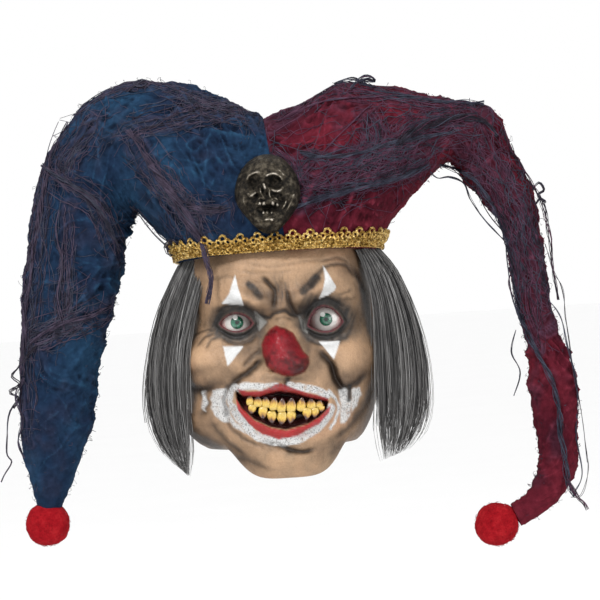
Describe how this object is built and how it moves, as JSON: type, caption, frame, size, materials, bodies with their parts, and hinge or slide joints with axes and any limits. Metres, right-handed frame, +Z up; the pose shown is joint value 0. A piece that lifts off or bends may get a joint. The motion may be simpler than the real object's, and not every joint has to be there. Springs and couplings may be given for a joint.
{
  "type": "jester mask",
  "caption": "Hollow rubber clown head mask under a blue and maroon jester cap with two long drooping horns, pompoms, torn gauze, gold braid, a skull badge and grey side hair.",
  "frame": {"origin": "Where the top of the wearer's head touches the inside of the mask's crown.", "axes": "+Z is up along the upright head, the face looks along -Y, and +X is on the right of someone who looks at the face."},
  "size_m": [0.5633, 0.2445, 0.4875],
  "materials": {
    "rubber_skin": "painted latex: tan skin with grey shading, white and red clown paint, satin",
    "eye": "glossy white domes with painted green irises",
    "teeth": "yellowed, stained brown at the roots",
    "hair": "straight grey and black synthetic strands",
    "blue_cloth": "matt, crinkled",
    "maroon_cloth": "matt, crinkled",
    "gauze": "torn loose-woven gauze, slate purple",
    "pompom": "red wool felt",
    "gold_braid": "woven metallic thread",
    "skull_metal": "dark aged bronze colour with worn bright high spots"
  },
  "bodies": {
    "root": {"mask_shell": "rubber_skin", "left_eye": "eye", "right_eye": "eye", "upper_teeth": "teeth", "lower_teeth": "teeth", "hair_left": "hair", "hair_right": "hair", "cap_left": "blue_cloth", "cap_right": "maroon_cloth", "gauze_left": "gauze", "gauze_right": "gauze", "pompom_left": "pompom", "pompom_right": "pompom", "gold_braid": "gold_braid", "skull_badge": "skull_metal"}
  },
  "joints": []
}
